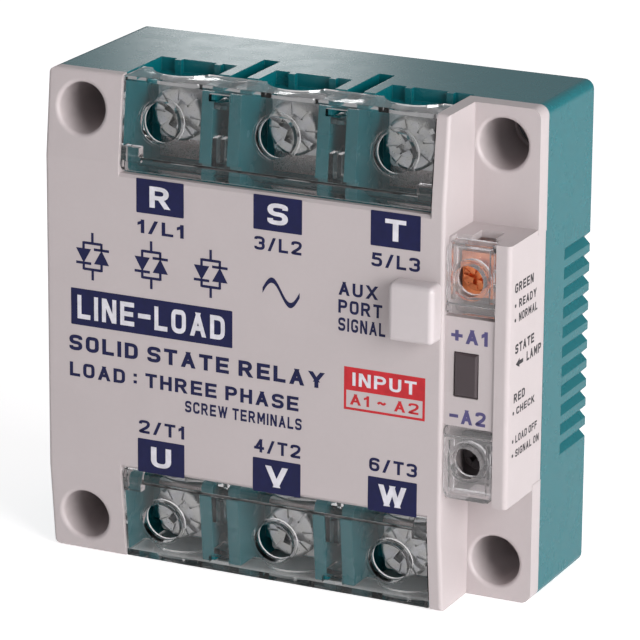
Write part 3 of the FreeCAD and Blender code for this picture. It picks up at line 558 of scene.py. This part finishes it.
def face_print():
    """Generic marks in the places of the maker's print."""
    poles = [shape for x in (-39.5, -26.4, -13.3) for shape in pole_symbol(x, 12.65)]
    print_shapes("circuit_symbol", poles, on_front(0, 0), "navy_ink")
    print_shapes("phase_wave", [wave_symbol(8.0, 4.6, 1.1)], on_front(2.0, 10.9), "navy_ink")
    print_shapes("title_box", [rounded(35.9, 7.6, 0.2)], on_front(-26.5, 1.9), "navy_ink")
    print_words("title_words", "LINE-LOAD", 32.8, 4.9, on_front(-26.6, 1.9, 1), "pale_ink", 1.5)
    lines = (
        ("type_words", "SOLID STATE RELAY", 56.5, 3.25, -16.7, -5.7, 1.7),
        ("load_words", "LOAD : THREE PHASE", 50.8, 2.95, -19.5, -11.3, 1.6),
        ("detail_words", "SCREW TERMINALS", 25.6, 2.4, -6.2, -15.4, 1.5),
        ("port_words_aux", "AUX", 8.4, 2.7, 18.5, 13.6, 1.5),
        ("port_words_port", "PORT", 9.3, 2.7, 18.95, 10.0, 1.5),
        ("port_words_signal", "SIGNAL", 10.0, 2.7, 19.3, 6.4, 1.5),
    )
    for name, words, width, height, x, z, stroke in lines:
        print_words(name, words, width, height, on_front(x, z), "navy_ink", stroke)


def input_box():
    """The red input box: a solid header over a framed pale cell."""
    x, z = 24.25, -6.35
    width, height, header, rim = 17.2, 8.7, 4.7, 0.5
    right, top = width / 2, height / 2
    split = top - header
    shapes = [
        [(-right, split), (right, split), (right, top), (-right, top)],
        bar((-right, rim / 2 - top), (right, rim / 2 - top), rim),
        bar((rim / 2 - right, -top), (rim / 2 - right, split), rim),
        bar((right - rim / 2, -top), (right - rim / 2, split), rim),
    ]
    print_shapes("input_frame", shapes, on_front(x, z), "red_ink")
    print_words("input_words", "INPUT", 13.6, 2.7, on_front(x, z + 2.0, 1), "pale_ink", 1.4)
    print_words("input_terminals", "A1 ~ A2", 14.6, 2.2, on_front(x, z - 2.15), "red_ink", 1.4)


def strip_print():
    """Polarity marks in the strip's shallow recess and the lamp's key on its side."""
    for name, words, x, z in (("mark_a1", "+A1", 41.5, 7.3), ("mark_a2", "-A2", 41.4, -8.9)):
        print_words(name, words, 7.6, 2.9, on_front(x, z, 0, STRIP_Y), "violet_ink", 1.75)
    key = (
        # name, words, left end, width, middle's height on the strip, letter height
        ("green", "GREEN", -37.7, 9.0, 17.45, 1.85),
        ("ready", "READY", -35.6, 8.6, 14.1, 1.7),
        ("normal", "NORMAL", -35.5, 9.0, 11.3, 1.7),
        ("state", "STATE", -37.0, 9.2, 5.2, 1.9),
        ("lamp", "LAMP", -31.3, 7.1, 2.3, 1.9),
        ("red", "RED", -37.2, 5.4, -4.6, 1.8),
        ("check", "CHECK", -35.8, 9.0, -7.4, 1.5),
        ("load_off", "LOAD OFF", -36.0, 10.6, -13.1, 1.55),
        ("signal_on", "SIGNAL ON", -35.9, 11.6, -16.0, 1.55),
    )
    for name, words, left, width, z, height in key:
        print_words(f"key_{name}", words, width, height, on_side(left + width / 2, z), "black_ink", 1.6)
    dots = [rounded(0.7, 0.7, 0.3, (-37.3, z)) for z in (14.0, 11.1, -7.5, -13.2, -16.1)]
    arrow = [[(-36.6, 2.1), (-34.8, 1.2), (-34.8, 3.0)], bar((-34.9, 2.1), (-33.0, 2.1), 0.8)]
    print_shapes("key_dots", dots, on_side(0, 0), "black_ink")
    print_shapes("key_arrow", arrow, on_side(0, 0), "black_ink")


# ---------------------------------------------------------------- stage

FLOOR_COLOUR = (0.9, 0.89, 0.89)
FLOOR_GLOW = (0.25, 0.68)  # strength to the object and to the camera
FLOOR_REACH = 4.0          # metres from the middle to each side
FLOOR_DROP = 0.2 * MM      # below the object's lowest point


def outside_painted_shadow(recipe):
    """0 on the floor under the lower terminal cover, rising to 1 around it: a painted contact shadow that
    turns the floor's glow off under the block.
    """
    axes = recipe.node("ShaderNodeSeparateXYZ")
    recipe.link(recipe.place, axes.inputs["Vector"])
    beyond = []
    low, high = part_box("lower_terminal_cover")
    for axis, start, end in (("X", low.x, high.x), ("Y", low.y + 5 * MM, 0.0)):
        from_middle = recipe.maths("SUBTRACT", axes.outputs[axis], (start + end) / 2)
        distance = recipe.maths("ABSOLUTE", from_middle, 0.0)
        beyond.append(recipe.maths("SUBTRACT", distance, (end - start) / 2))
    return recipe.spread(recipe.maths("MAXIMUM", *beyond), 0.0, 1.0, -2 * MM, 1 * MM)


def make_floor():
    """A pale floor that glows, most of all to the camera, but not right under the lower terminal cover,
    where the glow is turned off as a painted contact shadow.
    """
    recipe = Recipe("floor", FLOOR_COLOUR, 0.6)
    recipe.feed(recipe.blend(recipe.noise(0.6, 2.0), FLOOR_COLOUR, (0.93, 0.92, 0.92)), "Base Color")
    recipe.set("Emission Color", (1.0, 0.99, 0.99, 1.0))
    seen = recipe.node("ShaderNodeLightPath").outputs["Is Camera Ray"]
    glow = recipe.spread(seen, *FLOOR_GLOW, 0.0, 1.0)
    # The floor's glow is turned off under the block: a painted contact shadow.
    recipe.feed(recipe.maths("MULTIPLY", outside_painted_shadow(recipe), glow), "Emission Strength")
    bm = bmesh.new()
    bmesh.ops.create_grid(bm, x_segments=8, y_segments=8, size=FLOOR_REACH)
    bmesh.ops.translate(bm, vec=(0, 0, cad_bounds[0].z - FLOOR_DROP), verts=bm.verts)
    mesh = bpy.data.meshes.new("floor")
    bm.to_mesh(mesh)
    bm.free()
    mesh.materials.append(recipe.material)
    floor = bpy.data.objects.new("floor", mesh)
    bpy.context.scene.collection.objects.link(floor)


def softbox(name, place, aim, size, power, colour=(1.0, 1.0, 1.0)):
    """A rectangular lamp, sized in metres and powered in watts, that faces its aim."""
    light = bpy.data.lights.new(name, "AREA")
    light.shape = "RECTANGLE"
    light.size, light.size_y = size
    light.energy = power
    light.color = colour
    made = bpy.data.objects.new(name, light)
    made.location = place
    made.rotation_euler = (Vector(aim) - Vector(place)).to_track_quat("-Z", "Y").to_euler()
    bpy.context.scene.collection.objects.link(made)


def make_lights():
    world = bpy.data.worlds.new("studio")
    world.use_nodes = True
    world.node_tree.nodes["Background"].inputs["Color"].default_value = (0.98, 0.98, 1.0, 1.0)
    world.node_tree.nodes["Background"].inputs["Strength"].default_value = 0.3
    bpy.context.scene.world = world
    centre = (0.0, -0.02, 0.0)
    softbox("right_softbox", (0.96, -0.45, 0.25), centre, (0.7, 0.9), 15.4, (1.0, 0.985, 0.98))
    softbox("front_softbox", (-0.35, -1.1, 0.5), centre, (0.6, 0.6), 0.3)
    softbox("back_panel", (-0.62, 1.2, 0.26), (-0.62, 0.0, 0.05), (0.12, 0.16), 0.39)


def make_camera():
    """A long lens that looks down at the object from its front right."""
    yaw, pitch = CAMERA_YAW, CAMERA_PITCH
    back = Vector((math.sin(yaw) * math.cos(pitch), -math.cos(yaw) * math.cos(pitch), math.sin(pitch)))
    level = (-back).cross(Vector((0, 0, 1))).normalized()
    raised = level.cross(-back)
    right = level * math.cos(CAMERA_ROLL) + raised * math.sin(CAMERA_ROLL)
    up = raised * math.cos(CAMERA_ROLL) - level * math.sin(CAMERA_ROLL)
    data = bpy.data.cameras.new("camera")
    data.sensor_width = 36.0
    data.lens = CAMERA_LENS
    camera = bpy.data.objects.new("camera", data)
    camera.matrix_world = Matrix((right, up, back)).transposed().to_4x4()
    camera.location = back * CAMERA_DISTANCE + right * CAMERA_SHIFT[0] + up * CAMERA_SHIFT[1]
    bpy.context.scene.collection.objects.link(camera)
    bpy.context.scene.camera = camera
    bpy.context.scene.view_settings.view_transform = "Standard"


make_camera()
make_floor()
make_lights()
dress_cad_nodes()
terminal_labels()
face_print()
input_box()
strip_print()
